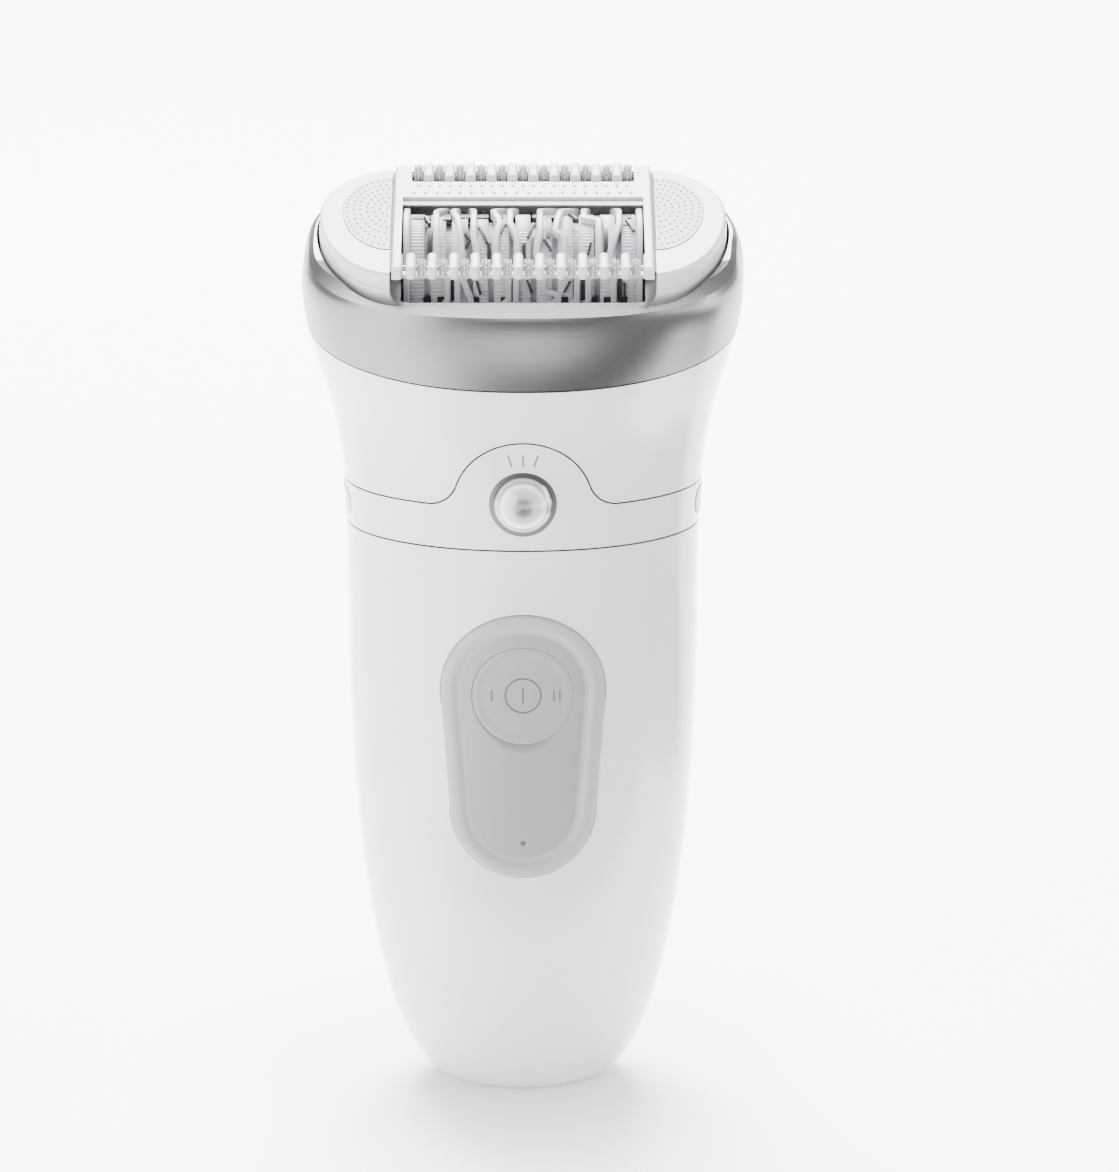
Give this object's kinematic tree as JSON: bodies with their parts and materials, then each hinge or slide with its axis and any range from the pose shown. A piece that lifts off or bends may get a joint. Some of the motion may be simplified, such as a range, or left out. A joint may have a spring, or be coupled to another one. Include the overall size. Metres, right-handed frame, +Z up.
{
  "type": "hand-held epilator",
  "caption": "Cordless hand-held epilator with a rocking oval head, a tweezer barrel under a massage cap, a front lamp and a soft switch pad.",
  "frame": {"origin": "centre of the flat base that the object stands on", "axes": "+Z up along the handle, -Y the front with the switch pad and lamp, +X to the right of the front view"},
  "size_m": [0.0663, 0.0464, 0.1443],
  "materials": {
    "shell_plastic": "gloss white moulded plastic",
    "band_metal": "satin metal, brushed round",
    "soft_pad": "matt light grey soft plastic",
    "button_plastic": "satin light grey plastic",
    "pod_plastic": "satin white plastic",
    "inner_plastic": "plain moulded plastic",
    "barrel_plastic": "white hard plastic",
    "steel": "bare steel",
    "bright_ring": "bright ring",
    "lens_glass": "clear plastic with a pearly look",
    "gear_plastic": "natural acetal",
    "bearing_bronze": "sintered bronze",
    "board_green": "circuit board",
    "component_dark": "moulded chips",
    "battery_wrap": "shrink-wrapped cell",
    "seal_rubber": "soft seal",
    "copper": "gold-plated contact",
    "lead_cover": "insulated lead"
  },
  "bodies": {
    "handle": {"front_shell": "shell_plastic", "rear_shell": "shell_plastic", "collar": "shell_plastic", "neck_deck": "inner_plastic", "neck_seal": "seal_rubber", "gear_plate": "inner_plastic", "switch_pad": "soft_pad", "charge_lamp": "lens_glass", "circuit_board": "board_green", "board_components": "component_dark", "board_screws": "steel", "tact_switch": "component_dark", "battery_cell": "battery_wrap", "battery_tabs": "copper", "charge_socket": "inner_plastic", "charge_pins": "copper", "leads": "lead_cover", "lamp_ring": "bright_ring", "lamp_lens": "lens_glass", "lamp_reflector": "inner_plastic", "lamp_board": "board_green", "release_springs": "steel", "motor": "steel", "output_bushes": "bearing_bronze", "motor_screws": "steel", "deck_screws": "steel"},
    "power_button": {"power_button": "button_plastic"},
    "left_release": {"left_release_button": "button_plastic"},
    "right_release": {"right_release_button": "button_plastic"},
    "motor_rotor": {"motor_shaft": "steel", "motor_pinion": "gear_plastic"},
    "output": {"output_shaft": "steel", "output_gear": "gear_plastic"},
    "head": {"head_skirt": "shell_plastic", "head_band": "band_metal", "band_ring": "inner_plastic", "head_chassis": "inner_plastic", "head_bushes": "bearing_bronze", "chassis_screws": "steel", "pivot_pins": "steel", "idler_pin": "steel"},
    "input": {"input_shaft": "steel", "bevel_pinion": "gear_plastic"},
    "cross": {"cross_shaft": "steel", "bevel_wheel": "gear_plastic", "cross_gear": "gear_plastic"},
    "idler": {"idler_gear": "gear_plastic"},
    "barrel": {"barrel_axle": "steel", "barrel_gear": "gear_plastic", "barrel_segments": "barrel_plastic", "closing_discs": "barrel_plastic", "tweezer_plates": "steel"},
    "pod": {"pod_shell": "pod_plastic", "end_pads": "pod_plastic", "closing_cams": "inner_plastic"},
    "cap": {"massage_cap": "pod_plastic", "roll_wires": "steel"},
    "front_rollers": {"front_rolls": "pod_plastic"},
    "rear_rollers": {"rear_rolls": "pod_plastic"}
  },
  "joints": [
    {"name": "button_press", "type": "slide", "parent": "handle", "child": "power_button", "axis": [0, 1, 0], "range_m": [0, 0.0008], "stiffness_N_per_m": 600, "springref_m": -0.0015},
    {"name": "left_release_press", "type": "slide", "parent": "handle", "child": "left_release", "axis": [1, 0, 0], "range_m": [0, 0.0012], "stiffness_N_per_m": 400, "springref_m": -0.001, "deforming": ["release_springs"]},
    {"name": "right_release_press", "type": "slide", "parent": "handle", "child": "right_release", "axis": [-1, 0, 0], "range_m": [0, 0.0012], "stiffness_N_per_m": 400, "springref_m": -0.001, "deforming": ["release_springs"]},
    {"name": "motor_spin", "type": "hinge", "parent": "handle", "child": "motor_rotor", "pos_m": [-0.0095, 0.00447, 0.089], "axis": [0, 0, 1], "continuous": true},
    {"name": "output_spin", "type": "hinge", "parent": "handle", "child": "output", "pos_m": [0, 0, 0.089], "axis": [0, 0, 1], "continuous": true},
    {"name": "head_lift", "type": "slide", "parent": "handle", "child": "head", "axis": [0, 0, 1], "range_m": [0, 0.035]},
    {"name": "input_spin", "type": "hinge", "parent": "head", "child": "input", "pos_m": [0, 0, 0.105], "axis": [0, 0, 1], "continuous": true},
    {"name": "cross_spin", "type": "hinge", "parent": "head", "child": "cross", "pos_m": [0, 0, 0.11493], "axis": [1, 0, 0], "continuous": true},
    {"name": "idler_spin", "type": "hinge", "parent": "head", "child": "idler", "pos_m": [0, -0.00146, 0.12127], "axis": [1, 0, 0], "continuous": true},
    {"name": "barrel_spin", "type": "hinge", "parent": "head", "child": "barrel", "pos_m": [0, -0.00347, 0.13004], "axis": [1, 0, 0], "continuous": true},
    {"name": "pod_rock", "type": "hinge", "parent": "head", "child": "pod", "pos_m": [0, -0.00347, 0.13004], "axis": [1, 0, 0], "range_deg": [-7, 7], "stiffness_Nm_per_rad": 0.4},
    {"name": "cap_lift", "type": "slide", "parent": "pod", "child": "cap", "axis": [0, -0.2756, 0.9613], "range_m": [0, 0.015]},
    {"name": "front_roll_spin", "type": "hinge", "parent": "cap", "child": "front_rollers", "pos_m": [0, -0.01817, 0.13451], "axis": [1, 0, 0], "continuous": true},
    {"name": "rear_roll_spin", "type": "hinge", "parent": "cap", "child": "rear_rollers", "pos_m": [0, 0.00752, 0.14287], "axis": [1, 0, 0], "continuous": true}
  ],
  "couplings": [
    {"joint": "idler_spin", "follows": "barrel_spin", "ratio": -1.5714},
    {"joint": "cross_spin", "follows": "barrel_spin", "ratio": 1.8333},
    {"joint": "input_spin", "follows": "barrel_spin", "ratio": 2.75},
    {"joint": "output_spin", "follows": "barrel_spin", "ratio": 2.75},
    {"joint": "motor_spin", "follows": "barrel_spin", "ratio": -6.875}
  ]
}
